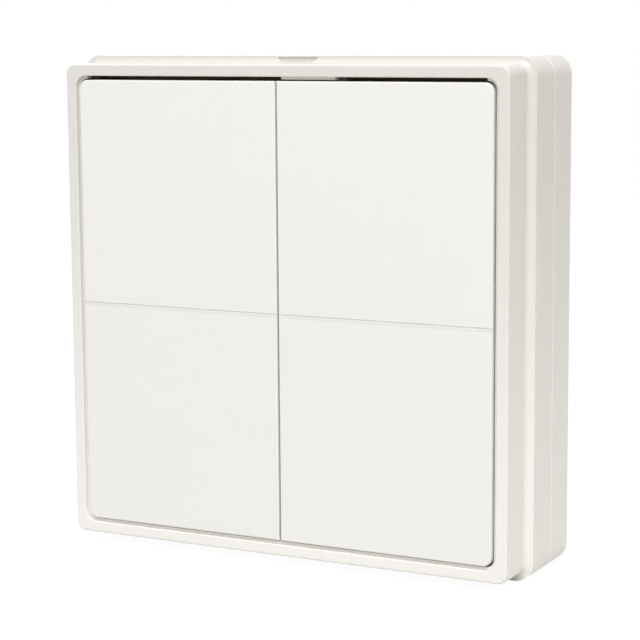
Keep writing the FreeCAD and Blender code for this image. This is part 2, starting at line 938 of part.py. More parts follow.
def main_board():
    """The circuit board, clamped between the deck and the bosses of the carrier."""
    part = body("main_board")
    pad(part, s.deck_height, board_front, lambda k: rounded_square(k, board_half, s.board_corner))

    def holes(k):
        for x, z in screw_corners:
            circle(k, s.carrier_screw_radius + s.screw_clearance, x, z)
        for a in BOTH:
            circle(k, s.holder_screw_radius + s.screw_clearance, holder_screw_x * a, 0)

    pocket(part, s.deck_height, board_front, holes)


def switch(name, x, z):
    """A tactile switch in four pieces, drawn on the front of the board."""
    half = s.switch_side / 2
    cavity = half - s.switch_wall

    shell = body(name + "_switch_body")
    pad(shell, 0, s.switch_body_height, lambda k: square(k, half))
    pocket(shell, s.switch_floor, s.switch_body_height, lambda k: square(k, cavity))

    cover = body(name + "_switch_cover")
    cover_top = switch_top - board_front
    outer = half + s.switch_leg_wall
    pad(
        cover,
        s.switch_body_height,
        cover_top,
        lambda k: rectangle(k, -outer, outer, -half, half),
    )
    pocket(
        cover,
        s.switch_body_height,
        cover_top,
        lambda k: circle(k, s.stem_radius + s.stem_clearance),
    )

    def legs(k):
        wide = s.switch_leg_width / 2
        rectangle(k, -outer, -half, -wide, wide)
        rectangle(k, half, outer, -wide, wide)

    pad(cover, 0, s.switch_body_height, legs)

    stem = body(name + "_switch_stem")
    flange_top = s.stem_flange_height + s.stem_flange_thickness
    pad(stem, s.stem_flange_height, flange_top, lambda k: circle(k, s.stem_flange_radius))
    stem_height = stem_top - board_front
    pad(stem, flange_top, stem_height, lambda k: circle(k, s.stem_radius))
    bore_top = stem_height - s.stem_roof
    pocket(stem, s.stem_flange_height, bore_top, lambda k: circle(k, s.stem_bore_radius))

    for part in (shell, cover, stem):
        place(part, x, z, board_front)

    spring_low = s.switch_floor + s.spring_end_gap
    spring_high = bore_top - s.spring_end_gap
    coil(
        name + "_switch_spring",
        s.spring_radius,
        s.spring_wire_radius,
        spring_low,
        spring_high,
        s.spring_turns,
        (x, z, board_front),
    )


def coil(name, radius, wire_radius, low, high, turns, where):
    """A coil spring between two heights about an axis at (x, z, height)."""
    x, z, height = where
    rise = high - low - wire_radius * 2
    helix = doc.addObject("Part::Helix", name + "_helix")
    bind(helix, "Radius", radius)
    bind(helix, "Pitch", rise / turns)
    bind(helix, "Height", rise)
    wire = doc.addObject("Part::Circle", name + "_wire")
    bind(wire, "Radius", wire_radius)
    wire.Placement.Rotation = FreeCAD.Rotation(FreeCAD.Vector(1, 0, 0), 90)
    bind(wire, "Placement.Base.x", radius)
    made = doc.addObject("Part::Sweep", name)
    made.Label = name
    made.Sections = [wire]
    made.Spine = (helix, [])
    made.Solid = True
    made.Frenet = True
    made.Placement.Rotation = FreeCAD.Rotation(FreeCAD.Vector(1, 0, 0), 90)
    bind(made, "Placement.Base.x", x)
    bind(made, "Placement.Base.y", -(length(height) + low + wire_radius))
    bind(made, "Placement.Base.z", z)
    return made


def pairing_switch():
    """A small switch on the back of the board that starts pairing, with its button."""
    half = s.pairing_side / 2
    shell = body("pairing_switch_body")
    pad(shell, 0, s.pairing_body_height, lambda k: square(k, half))
    cavity = half - s.pairing_wall
    inside = s.pairing_body_height - s.pairing_cover
    pocket(shell, s.pairing_floor, s.pairing_body_height, lambda k: square(k, cavity))
    cover = body("pairing_switch_cover")
    pad(cover, inside, s.pairing_body_height, lambda k: square(k, cavity - s.pairing_cover_gap))
    pocket(
        cover,
        inside,
        s.pairing_body_height,
        lambda k: circle(k, s.pairing_stem_radius + s.stem_clearance),
    )
    button = body("pairing_button")
    flange_low = s.pairing_floor + s.pairing_travel + s.pairing_rest_gap
    flange_top = flange_low + s.pairing_flange_thickness
    pad(button, flange_low, flange_top, lambda k: circle(k, s.pairing_flange_radius))
    pad(button, flange_top, s.pairing_stem_height, lambda k: circle(k, s.pairing_stem_radius))
    for part in (shell, cover, button):
        place(part, s.pairing_x, -parts_row, s.deck_height, 180)


def radio_module():
    """The radio module on the back of the board: its own small board, a shield and an aerial."""
    board = body("bluetooth_module")
    long = s.module_length / 2
    wide = s.module_width / 2
    pad(board, 0, s.module_thickness, lambda k: rectangle(k, -long, long, -wide, wide))

    shield = body("module_shield")
    top = s.module_thickness + s.shield_height
    x = s.shield_offset
    half = s.shield_length / 2
    tall = s.shield_width / 2
    pad(
        shield,
        s.module_thickness,
        top,
        lambda k: rectangle(k, x - half, x + half, -tall, tall),
    )
    wall = s.shield_wall
    pocket(
        shield,
        s.module_thickness,
        top - wall,
        lambda k: rectangle(k, x - half + wall, x + half - wall, wall - tall, tall - wall),
    )
    fillet(shield, s.shield_round, lambda a, b, h, e: near(h, top))

    aerial = body("chip_antenna")
    reach_x = s.antenna_width / 2
    reach_z = s.antenna_length / 2
    place_x = -s.antenna_offset
    pad(
        aerial,
        s.module_thickness,
        s.module_thickness + s.antenna_height,
        lambda k: rectangle(k, place_x - reach_x, place_x + reach_x, -reach_z, reach_z),
    )
    for part in (board, shield, aerial):
        place(part, s.module_x, parts_row, s.deck_height, 180)


def small_parts():
    """The buffer capacitor, clock crystal, status light and chips on the back of the board."""
    capacitor = body("buffer_capacitor")
    pad(capacitor, 0, s.capacitor_base_height, lambda k: square(k, s.capacitor_base / 2))
    pad(
        capacitor,
        s.capacitor_base_height,
        s.capacitor_height,
        lambda k: circle(k, s.capacitor_radius),
    )
    place(capacitor, s.capacitor_x, parts_row, s.deck_height, 180)

    crystal = body("clock_crystal")
    half = s.crystal_length / 2
    pad(
        crystal,
        -half,
        half,
        lambda k: circle(k, s.crystal_radius, -s.crystal_radius, 0),
        "YZ_Plane",
    )
    place(crystal, s.crystal_x, parts_row, s.deck_height, 180)

    light = body("status_led")
    long = s.led_length / 2
    wide = s.led_width / 2
    pad(light, 0, s.led_base, lambda k: rectangle(k, -long, long, -wide, wide))
    pad(
        light,
        s.led_base,
        s.led_base + s.led_lens,
        lambda k: rectangle(k, -long / 2, long / 2, -wide, wide),
    )
    place(light, s.led_x, -parts_row, s.deck_height, 180)

    chips = body("chip_components")

    def outline(k):
        for column in range(CHIP_COLUMNS):
            x = s.chip_pitch * column
            for line in BOTH:
                middle = s.chip_row / 2 * line
                half = s.chip_width / 2
                rectangle(k, -x - s.chip_length, -x, middle - half, middle + half)

    pad(chips, 0, s.chip_height, outline)
    place(chips, s.chip_x, -parts_row, s.deck_height, 180)


def battery_holder():
    """An open frame on the back of the board with a bay for each of the two cells."""
    part = body("battery_holder")

    def walls(k):
        rectangle(k, -holder_end, holder_end, -holder_top, holder_top)
        inner = holder_top - s.holder_wall
        rectangle(k, -holder_half, holder_half, s.bay_divider / 2, inner)
        rectangle(k, -holder_half, holder_half, -inner, -(s.bay_divider / 2))

    pad(part, holder_low, s.deck_height, walls)

    def tabs(k):
        wide = s.holder_tab_width / 2
        far = holder_end + s.holder_tab_reach
        rectangle(k, -far, -holder_end, -wide, wide)
        rectangle(k, holder_end, far, -wide, wide)

    pad(part, s.deck_height - s.holder_tab_drop, s.deck_height, tabs)

    def pilots(k):
        for a in BOTH:
            circle(k, s.holder_screw_radius + s.thread_clearance, holder_screw_x * a, 0)

    pocket(part, s.deck_height - s.holder_tab_drop, s.deck_height, pilots)


def cells_and_contacts():
    """Two cells in series: the upper one points right, the lower one left."""
    plate = holder_half - s.contact_thickness
    tip = plate - s.cell_end_play
    for name, side in (("upper_cell", 1), ("lower_cell", -1)):
        part = body(name)
        shoulder = (tip - s.nub_length) * side
        low, high = in_order((tip - s.cell_length) * side, shoulder)
        pad(part, low, high, lambda k: circle(k, s.cell_radius), "YZ_Plane")
        fillet(part, s.cell_round, lambda x, z, h, e: not straight(e))
        low, high = in_order(shoulder, tip * side)
        pad(part, low, high, lambda k: circle(k, s.nub_radius), "YZ_Plane")
        place(part, 0, bay_offset * side, cell_height)

    top = s.deck_height
    low = top - s.contact_height
    half = s.contact_width / 2

    def contact(name, side):
        part = body(name)
        middle = bay_offset * side
        pad(
            part,
            plate,
            holder_half,
            lambda k: rectangle(k, -top, -low, middle - half, middle + half),
            "YZ_Plane",
        )

    contact("positive_contact", 1)
    contact("negative_contact", -1)
    bridge = body("bridge_contact")
    reach_z = bay_offset + half
    clear = s.bay_divider / 2 + s.fit_clearance

    def arms(k):
        rectangle(k, -top, -holder_low, clear, reach_z)
        rectangle(k, -top, -holder_low, -reach_z, -clear)

    pad(bridge, -holder_half, -plate, arms, "YZ_Plane")
    pad(
        bridge,
        -holder_half,
        -plate,
        lambda k: rectangle(k, -holder_low, s.bridge_width - holder_low, -reach_z, reach_z),
        "YZ_Plane",
    )
    for name, side in (("upper_cell_spring", 1), ("lower_cell_spring", -1)):
        part = coil(
            name,
            s.cell_spring_radius,
            s.cell_spring_wire_radius,
            s.spring_end_gap,
            s.cell_spring_length - s.spring_end_gap,
            s.cell_spring_turns,
            (0, 0, 0),
        )
        part.Placement.Rotation = FreeCAD.Rotation(FreeCAD.Vector(0, 1, 0), 90 * side)
        bind(part, "Placement.Base.x", (s.spring_end_gap + s.cell_spring_wire_radius - plate) * side)
        bind(part, "Placement.Base.y", -cell_height)
        bind(part, "Placement.Base.z", bay_offset * side)


def screws(name, places, head_low, head_high, shank_low, shank_high, radius, head_radius, front):
    """A set of pan head screws; front says on which side of the head its recess is."""
    part = body(name)

    def heads(k):
        for x, z in places:
            circle(k, head_radius, x, z)

    def shanks(k):
        for x, z in places:
            circle(k, radius, x, z)

    def recesses(k):
        for x, z in places:
            cross(k, s.recess_width, s.recess_length, x, z)

    pad(part, head_low, head_high, heads)
    pad(part, shank_low, shank_high, shanks)
    if front:
        pocket(part, head_high - s.recess_depth, head_high, recesses)
    else:
        pocket(part, head_low, head_low + s.recess_depth, recesses)


def all_screws():
    deck_back = s.deck_height - s.deck_thickness
    screws(
        "carrier_screws",
        screw_corners,
        deck_back - s.carrier_screw_head,
        deck_back,
        deck_back,
        deck_back + s.carrier_screw_length,
        s.carrier_screw_radius,
        s.carrier_screw_head_radius,
        False,
    )
    screws(
        "holder_screws",
        [(holder_screw_x * a, length(0)) for a in BOTH],
        board_front,
        board_front + s.holder_screw_head,
        board_front - s.holder_screw_length,
        board_front,
        s.holder_screw_radius,
        s.holder_screw_head_radius,
        True,
    )


wall_base()
front_housing()
front_frame()
rocker("left_rocker", -1)
rocker("right_rocker", 1)
rocker_carrier()
stop_pads()
main_board()
for row_name, upward in (("top", 1), ("bottom", -1)):
    for column_name, sideways in (("left", -1), ("right", 1)):
        switch(
            f"{row_name}_{column_name}",
            rocker_middle * sideways,
            switch_drop * upward,
        )
pairing_switch()
radio_module()
small_parts()
battery_holder()
cells_and_contacts()
all_screws()
doc.recompute()

# Every object has to be sound, and every cut has to have cut, before anything is written
for item in doc.Objects:
    if "Invalid" in item.State or "Error" in item.State:
        raise RuntimeError(f"{item.Name} did not build: {item.State}")
    if item.TypeId == "PartDesign::Pocket":
        if item.Shape.Volume > item.BaseFeature.Shape.Volume - 0.001:
            raise RuntimeError(f"{item.Name} cuts nothing")

subparts = [item for item in doc.Objects if item.TypeId in ("PartDesign::Body", "Part::Sweep")]
os.makedirs("parts", exist_ok=True)
for item in subparts:
    if item.Shape.isNull() or not item.Shape.isValid():
        raise RuntimeError(f"{item.Label} has no sound shape")
for item in subparts:
    item.Shape.exportStep(f"parts/{item.Label}.step")
    print(f"{item.Label}: {len(item.Shape.Solids)} solid(s), {item.Shape.Volume:.1f} mm3")
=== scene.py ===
import bmesh
import bpy
from mathutils import Matrix, Vector


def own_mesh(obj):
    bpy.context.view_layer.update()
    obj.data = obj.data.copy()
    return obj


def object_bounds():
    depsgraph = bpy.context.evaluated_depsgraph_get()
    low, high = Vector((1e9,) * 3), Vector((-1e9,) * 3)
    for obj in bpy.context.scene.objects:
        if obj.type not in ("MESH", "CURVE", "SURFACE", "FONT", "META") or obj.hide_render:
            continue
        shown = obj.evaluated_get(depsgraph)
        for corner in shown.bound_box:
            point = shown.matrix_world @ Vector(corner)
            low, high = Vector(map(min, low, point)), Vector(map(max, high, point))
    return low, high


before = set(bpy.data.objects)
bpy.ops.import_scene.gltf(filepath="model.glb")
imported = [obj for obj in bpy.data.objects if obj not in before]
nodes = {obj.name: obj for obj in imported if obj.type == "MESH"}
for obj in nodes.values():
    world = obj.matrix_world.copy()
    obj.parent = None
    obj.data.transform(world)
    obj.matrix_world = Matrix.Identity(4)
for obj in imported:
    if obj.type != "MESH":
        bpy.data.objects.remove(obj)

cad_low, cad_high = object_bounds()

# One millimetre in metres, which every length in Blender is in
MM = 0.001
# Where the axes stand in a point
X, Y = 0, 1

# Millimetres over which the colour of a moulding drifts, and how far its grain takes the roughness
# up or down
COLOUR_DRIFT, PLASTIC_SPREAD = 45, 0.04
# Size and height in millimetres of the marks on metal, and how far they take the roughness up or
# down
METAL_GRAIN, METAL_RELIEF, METAL_SPREAD = 0.25, 0.01, 0.08
# How strongly the relief of plastic and boards shows, and that of metal
PLASTIC_BUMP, METAL_BUMP = 0.6, 0.4
# Refractive index of ABS and nylon, of the cells' sleeves, and of epoxy and solder mask
ABS_IOR, SLEEVE_IOR, EPOXY_IOR = 1.53, 1.5, 1.55
# Millimetres that the painted groove shade goes behind the front of the rockers, into the groove
# across them, and below the middle of the groove
GROOVE_SHADE_DEPTH, GROOVE_SHADE_REACH = 0.2, 0.75
# Millimetres between the board's tracks, their width and their height under the mask, and the size
# of the patches that they turn in
TRACK_PITCH, TRACK_WIDTH, TRACK_HEIGHT, TRACK_PATCH = 1.0, 0.25, 0.035, 8.0
# The share of the patches whose tracks would run upright, and the share that has no tracks
UPRIGHT_SHARE, PLAIN_SHARE = 0.5, 0.62
# How rough solder mask is
MASK_ROUGHNESS = 0.3
# Where each colour of a cell starts, from its base (0) to its tip (1)
CELL_BANDS = ((0.0, "#C9C6BE"), (0.012, "#33373B"), (0.7, "#B5713F"), (0.975, "#C9C6BE"))
# Millimetres of the scuffs on a sleeve, and how rough it is between them and in them
SCUFF_SIZE, SLEEVE_SMOOTH, SLEEVE_SCUFFED = 0.8, 0.22, 0.34

# Metres from the middle of the floor to its rim, and the shares of that where the paper starts to
# turn white and where it is white
FLOOR_RADIUS, WHITENS_FROM, WHITE_FROM = 0.6, 0.3, 0.9
# The glow of the paper as the camera sees it, and how much of it shows in the middle
PAPER_GLOW, MIDDLE_SHARE = 1.065, 0.9
# Linear light of the surroundings, and of the warmer wall at the right
SKY_LIGHT = (0.449, 0.449, 0.449, 1)
WARM_WALL = (0.462, 0.437, 0.405, 1)
WHITE = (1, 1, 1, 1)
# The point that the softboxes face, inside the switch
LIT_POINT = Vector((0, -0.01, 0))
# The camera as fitted: its lens and its place in millimetres, the way that it looks, and its up
LENS = 111.71
EYE_PLACE = Vector((159.32, -312.43, 47.42))
EYE_FORWARD = Vector((-0.45955, 0.87620, -0.14520))
EYE_UPWARD = Vector((-0.06107, 0.13192, 0.98938))


def linear(colour):
    """An sRGB hex colour such as "#EFEEEA" as linear red, green, blue and alpha."""
    channels = [int(colour[i : i + 2], 16) / 255 for i in (1, 3, 5)]
    bent = [c / 12.92 if c <= 0.04045 else ((c + 0.055) / 1.055) ** 2.4 for c in channels]
    return (*bent, 1.0)


def add(tree, kind, inputs=None, **settings):
    """One new node with its settings and inputs.

    An input goes by the name or the number of its socket, and is a value or the output socket of
    another node.
    """
    node = tree.nodes.new(kind)
    for name, value in settings.items():
        setattr(node, name, value)
    for socket, value in (inputs or {}).items():
        if isinstance(value, bpy.types.NodeSocket):
            tree.links.new(value, node.inputs[socket])
        else:
            node.inputs[socket].default_value = value
    return node


def new_material(name):
    """An empty material with its tree, Object coordinates and a surface to link to."""
    material = bpy.data.materials.new(name)
    material.use_nodes = True
    tree = material.node_tree
    tree.nodes.clear()
    place = add(tree, "ShaderNodeTexCoord").outputs["Object"]
    output = add(tree, "ShaderNodeOutputMaterial")
    return material, tree, place, output


def per_mm(size):
    """The scale of a noise or cell pattern whose features are about this many millimetres."""
    return 1.0 / (size * MM)


def moulded_plastic(
    name,
    colour,
    shade,
    roughness,
    grain=0.35,
    grain_height=0.004,
    painted_top_shade=None,
    painted_groove_shade=None,
    ior=ABS_IOR,
):
    """Injection moulded plastic: nearly even colour, and the fine grain of a sparked mould.

    The colour drifts a little towards shade over tens of millimetres, as the melt cools.
    A painted top shade colour is painted shade that darkens the plastic towards the top edge.
    A painted groove shade colour is painted shade on the groove's lower flank and just below it.
    grain and grain_height are in millimetres. The real grain is about 0.03 mm; it is drawn coarser
    so that it shows as a soft sheen.
    """
    material, tree, place, output = new_material(name)
    drift = add(
        tree,
        "ShaderNodeTexNoise",
        {"Vector": place, "Scale": per_mm(COLOUR_DRIFT), "Detail": 2.0},
    )
    tone = add(
        tree,
        "ShaderNodeMix",
        {"Factor": drift.outputs["Fac"], "A": linear(colour), "B": linear(shade)},
        data_type="RGBA",
    )
    # Painted shade: from the bottom to the top of the switch the colour turns towards the painted
    # top shade colour, so the top reads darker as though less light fell there
    if painted_top_shade:
        height = add(tree, "ShaderNodeSeparateXYZ", {"Vector": place}).outputs["Z"]
        rise = add(
            tree,
            "ShaderNodeMapRange",
            {"Value": height, "From Min": cad_low.z, "From Max": cad_high.z},
            interpolation_type="SMOOTHSTEP",
        )
        tone = add(
            tree,
            "ShaderNodeMix",
            {"Factor": rise.outputs["Result"], "A": tone.outputs["Result"], "B": linear(painted_top_shade)},
            data_type="RGBA",
        )
    # Painted shade: a band just below the middle of the groove, in the front skin of the rockers,
    # is darkened towards the groove, over the highlight its lower flank would catch
    if painted_groove_shade:
        xyz = add(tree, "ShaderNodeSeparateXYZ", {"Vector": place})
        fading = add(
            tree,
            "ShaderNodeMapRange",
            {"Value": xyz.outputs["Z"], "From Min": -GROOVE_SHADE_REACH * MM, "From Max": 0.0},
            interpolation_type="SMOOTHSTEP",
        )
        below = add(
            tree, "ShaderNodeMath", {0: xyz.outputs["Z"], 1: 0.0}, operation="LESS_THAN"
        )
        in_front = add(
            tree,
            "ShaderNodeMath",
            {0: xyz.outputs["Y"], 1: cad_low.y + GROOVE_SHADE_DEPTH * MM},
            operation="LESS_THAN",
        )
        under_groove = add(
            tree,
            "ShaderNodeMath",
            {0: below.outputs["Value"], 1: in_front.outputs["Value"]},
            operation="MULTIPLY",
        )
        groove_shaded = add(
            tree,
            "ShaderNodeMath",
            {0: under_groove.outputs["Value"], 1: fading.outputs["Result"]},
            operation="MULTIPLY",
        )
        tone = add(
            tree,
            "ShaderNodeMix",
            {"Factor": groove_shaded.outputs["Value"], "A": tone.outputs["Result"], "B": linear(painted_groove_shade)},
            data_type="RGBA",
        )
    skin = add(
        tree,
        "ShaderNodeTexNoise",
        {"Vector": place, "Scale": per_mm(grain), "Detail": 3.0, "Roughness": 0.6},
    )
    polish = add(
        tree,
        "ShaderNodeMapRange",
        {
            "Value": skin.outputs["Fac"],
            "To Min": roughness - PLASTIC_SPREAD,
            "To Max": roughness + PLASTIC_SPREAD,
        },
    )
    bump = add(
        tree,
        "ShaderNodeBump",
        {
            "Height": skin.outputs["Fac"],
            "Strength": PLASTIC_BUMP,
            "Distance": grain_height * MM,
        },
    )
    shader = add(
        tree,
        "ShaderNodeBsdfPrincipled",
        {
            "Base Color": tone.outputs["Result"],
            "Roughness": polish.outputs["Result"],
            "IOR": ior,
            "Normal": bump.outputs["Normal"],
        },
    )
    tree.links.new(shader.outputs["BSDF"], output.inputs["Surface"])
    return material


def metal(name, colour, dark, roughness):
    """Rolled, drawn or plated metal, with the small marks of how it was made."""
    material, tree, place, output = new_material(name)
    marks = add(
        tree,
        "ShaderNodeTexNoise",
        {"Vector": place, "Scale": per_mm(METAL_GRAIN), "Detail": 4.0},
    )
    tone = add(
        tree,
        "ShaderNodeMix",
        {"Factor": marks.outputs["Fac"], "A": linear(colour), "B": linear(dark)},
        data_type="RGBA",
    )
    polish = add(
        tree,
        "ShaderNodeMapRange",
        {
            "Value": marks.outputs["Fac"],
            "To Min": roughness - METAL_SPREAD,
            "To Max": roughness + METAL_SPREAD,
        },
    )
    bump = add(
        tree,
        "ShaderNodeBump",
        {
            "Height": marks.outputs["Fac"],
            "Strength": METAL_BUMP,
            "Distance": METAL_RELIEF * MM,
        },
    )
    shader = add(
        tree,
        "ShaderNodeBsdfPrincipled",
        {
            "Base Color": tone.outputs["Result"],
            "Metallic": 1.0,
            "Roughness": polish.outputs["Result"],
            "Normal": bump.outputs["Normal"],
        },
    )
    tree.links.new(shader.outputs["BSDF"], output.inputs["Surface"])
    return material


def masked_board(name, mask, over_copper):
    """Circuit board under glossy solder mask: the copper tracks show through a little lighter.

    The tracks run up and down or across in some patches, as thick as the copper, and leave others
    plain.
    """
    material, tree, place, output = new_material(name)
    xyz = add(tree, "ShaderNodeSeparateXYZ", {"Vector": place})
    patches = add(tree, "ShaderNodeTexVoronoi", {"Vector": place, "Scale": per_mm(TRACK_PATCH)})
    pick = add(tree, "ShaderNodeSeparateColor", {"Color": patches.outputs["Color"]})
    upright = add(
        tree,
        "ShaderNodeMath",
        {0: pick.outputs["Red"], 1: 1 - UPRIGHT_SHARE},
        operation="GREATER_THAN",
    )
    across = add(
        tree,
        "ShaderNodeMix",
        {"Factor": upright.outputs["Value"], "A": xyz.outputs["Z"], "B": xyz.outputs["X"]},
    )
    phase = add(
        tree,
        "ShaderNodeMath",
        {0: across.outputs["Result"], 1: TRACK_PITCH * MM / 2},
        operation="PINGPONG",
    )
    stripe = add(
        tree,
        "ShaderNodeMath",
        {0: phase.outputs["Value"], 1: TRACK_WIDTH * MM / 2},
        operation="LESS_THAN",
    )
    routed = add(
        tree,
        "ShaderNodeMath",
        {0: pick.outputs["Green"], 1: PLAIN_SHARE},
        operation="GREATER_THAN",
    )
    track = add(
        tree,
        "ShaderNodeMath",
        {0: stripe.outputs["Value"], 1: routed.outputs["Value"]},
        operation="MULTIPLY",
    )
    tone = add(
        tree,
        "ShaderNodeMix",
        {"Factor": track.outputs["Value"], "A": linear(mask), "B": linear(over_copper)},
        data_type="RGBA",
    )
    bump = add(
        tree,
        "ShaderNodeBump",
        {
            "Height": track.outputs["Value"],
            "Strength": PLASTIC_BUMP,
            "Distance": TRACK_HEIGHT * MM,
        },
    )
    shader = add(
        tree,
        "ShaderNodeBsdfPrincipled",
        {
            "Base Color": tone.outputs["Result"],
            "Roughness": MASK_ROUGHNESS,
            "IOR": EPOXY_IOR,
            "Normal": bump.outputs["Normal"],
        },
    )
    tree.links.new(shader.outputs["BSDF"], output.inputs["Surface"])
    return material


def sleeved_cell(name, base, tip):
    """A steel can in a shrunk, glossy sleeve: dark, with a copper band towards the tip.

    Bare nickel plated steel shows at both ends. base and tip are the ends along X.
    """
    material, tree, place, output = new_material(name)
    xyz = add(tree, "ShaderNodeSeparateXYZ", {"Vector": place})
    share = add(
        tree,
        "ShaderNodeMapRange",
        {"Value": xyz.outputs["X"], "From Min": base, "From Max": tip},
    )
    bands = add(tree, "ShaderNodeValToRGB", {"Fac": share.outputs["Result"]})
    bands.color_ramp.interpolation = "CONSTANT"
    stops = bands.color_ramp.elements
    while len(stops) < len(CELL_BANDS):
        stops.new(1.0)
    for stop, (start, colour) in zip(stops, CELL_BANDS):
        stop.position = start
        stop.color = linear(colour)
    sleeve_start, sleeve_end = CELL_BANDS[1][0], CELL_BANDS[-1][0]
    sleeved = add(
        tree,
        "ShaderNodeMath",
        {
            0: share.outputs["Result"],
            1: (sleeve_start + sleeve_end) / 2,
            2: (sleeve_end - sleeve_start) / 2,
        },
        operation="COMPARE",
    )
    bare = add(tree, "ShaderNodeMath", {0: 1.0, 1: sleeved.outputs["Value"]}, operation="SUBTRACT")
    scuffs = add(
        tree,
        "ShaderNodeTexNoise",
        {"Vector": place, "Scale": per_mm(SCUFF_SIZE), "Detail": 3.0},
    )
    polish = add(
        tree,
        "ShaderNodeMapRange",
        {"Value": scuffs.outputs["Fac"], "To Min": SLEEVE_SMOOTH, "To Max": SLEEVE_SCUFFED},
    )
    shader = add(
        tree,
        "ShaderNodeBsdfPrincipled",
        {
            "Base Color": bands.outputs["Color"],
            "Metallic": bare.outputs["Value"],
            "Roughness": polish.outputs["Result"],
            "IOR": SLEEVE_IOR,
        },
    )
    tree.links.new(shader.outputs["BSDF"], output.inputs["Surface"])
    return material


def ends(name, axis):
    """The lowest and the highest place of a node along an axis."""
    reach = [corner.co[axis] for corner in nodes[name].data.vertices]
    return min(reach), max(reach)


def dress(material, *names):
    """Give each of the named nodes this material in place of its own."""
    for name in names:
        mesh = nodes[name].data
        mesh.materials.clear()
        mesh.materials.append(material)


# White ABS of the box: satin, from a lightly sparked mould, with painted shade darkening it
# towards the top
shell_abs = moulded_plastic("satin_white_abs", "#F3F1EC", "#F0EEE8", 0.42, painted_top_shade="#DFDCD6")
# White ABS of the frame: glossier, from a polished mould, with painted shade darkening it towards
# the top
frame_abs = moulded_plastic(
    "polished_white_abs", "#F5F3EE", "#F2F0EA", 0.26, grain=0.5, grain_height=0.002, painted_top_shade="#DFDDD6"
)
# White polycarbonate of the rockers: an even, silky matt, and a thin grey line of painted shade
# along the groove
rocker_pc = moulded_plastic(
    "silk_white_polycarbonate", "#F0EFEB", "#EEEDE8", 0.5, grain=0.3, painted_groove_shade="#DEDDD8", ior=1.58
)
# Brown nylon of the carrier, whose bounced light warms the dark gap above the rockers
carrier_nylon = moulded_plastic("brown_nylon", "#B08A70", "#9E7A61", 0.55, grain=0.4)
# Charcoal ABS of the battery holder: matt, with a coarser spark grain
holder_abs = moulded_plastic(
    "charcoal_abs", "#2C2B2A", "#242322", 0.55, grain=0.5, grain_height=0.008
)
# Black nylon of the switch bodies: a dull black with a slight sheen on its flat faces
switch_nylon = moulded_plastic("black_nylon", "#1B1B1C", "#242424", 0.45)
# Ivory acetal of the stems: smooth and waxy, a shade yellower than the white rockers
stem_acetal = moulded_plastic("ivory_acetal", "#D8D0BC", "#CFC6B0", 0.35, ior=1.48)
# Grey silicone of the stop pads: dull and soft, with no clear highlight
pad_silicone = moulded_plastic("grey_silicone", "#5C5A57", "#4F4D4A", 0.7, ior=1.41)
# Green solder mask of the main board: glossy, with lighter tracks that stand up a little
board_mask = masked_board("green_solder_mask", "#1A5233", "#2A6E47")
# Blue solder mask of the radio module, so that it reads as a board of its own
module_mask = masked_board("blue_solder_mask", "#182A55", "#27407A")
# Fired ceramic of the aerial: a chalky cream block
aerial_ceramic = moulded_plastic("fired_ceramic", "#E8E4D8", "#DAD5C6", 0.5, ior=1.65)
# Clear epoxy of the LED over its phosphor: a glossy pale yellow drop
led_epoxy = moulded_plastic("clear_epoxy", "#F1EBC8", "#E6DDA9", 0.2, ior=EPOXY_IOR)
# Black epoxy of the chips: near black and matt beside the glossy board
chip_epoxy = moulded_plastic("black_epoxy", "#262422", "#1C1B1A", 0.5, ior=EPOXY_IOR)
# Sleeves of the two cells, which lie with their tips at opposite ends
upper_left, upper_right = ends("upper_cell", X)
lower_left, lower_right = ends("lower_cell", X)
upper_sleeve = sleeved_cell("upper_cell_sleeve", upper_left, upper_right)
lower_sleeve = sleeved_cell("lower_cell_sleeve", lower_right, lower_left)
# Tinned steel of the covers and the shield: bright, with a blurred, cool reflection
tinned_steel = metal("tinned_steel", "#D5D6D6", "#B9BABB", 0.35)
# Drawn aluminium of the capacitor and the crystal: paler and cleaner than the tin
can_aluminium = metal("drawn_aluminium", "#D8D9DB", "#BFC0C3", 0.35)
# Nickel plate of the contacts and the springs: the sharpest shine, slightly warm
nickel_plate = metal("nickel_plated_spring_steel", "#D9D4C8", "#BDB7A9", 0.25)
# Zinc plate of the screws: greyer and patchier than the nickel
zinc_plate = metal("zinc_plated_steel", "#B9B8B4", "#95948F", 0.38)

dress(shell_abs, "wall_base", "front_housing")
dress(frame_abs, "front_frame")
dress(rocker_pc, "left_rocker", "right_rocker")
dress(carrier_nylon, "rocker_carrier")
dress(holder_abs, "battery_holder")
dress(pad_silicone, "stop_pads")
dress(board_mask, "main_board")
dress(module_mask, "bluetooth_module")
dress(aerial_ceramic, "chip_antenna")
dress(led_epoxy, "status_led")
dress(chip_epoxy, "chip_components")
dress(upper_sleeve, "upper_cell")
dress(lower_sleeve, "lower_cell")
dress(tinned_steel, "module_shield", "pairing_switch_cover")
dress(can_aluminium, "buffer_capacitor", "clock_crystal")
dress(nickel_plate, "bridge_contact", "positive_contact", "negative_contact")
dress(nickel_plate, "upper_cell_spring", "lower_cell_spring")
dress(zinc_plate, "carrier_screws", "holder_screws")
dress(switch_nylon, "pairing_switch_body", "pairing_button")
for row in ("top", "bottom"):
    for side in ("left", "right"):
        switch = f"{row}_{side}_switch"
        dress(switch_nylon, switch + "_body")
        dress(tinned_steel, switch + "_cover")
        dress(stem_acetal, switch + "_stem")
        dress(nickel_plate, switch + "_spring")
        # A rocker that is pressed down presses the stem's spring together, against the switch
        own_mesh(nodes[switch + "_spring"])


def seen_directly(tree):
    """One for what is seen straight, in a gloss or through glass, and nought for other light."""
    rays = add(tree, "ShaderNodeLightPath")
    mirrored = add(
        tree,
        "ShaderNodeMath",
        {0: rays.outputs["Is Camera Ray"], 1: rays.outputs["Is Glossy Ray"]},
        operation="MAXIMUM",
    )
    seen = add(
        tree,
        "ShaderNodeMath",
        {0: mirrored.outputs["Value"], 1: rays.outputs["Is Transmission Ray"]},
        operation="MAXIMUM",
    )
    return seen.outputs["Value"]


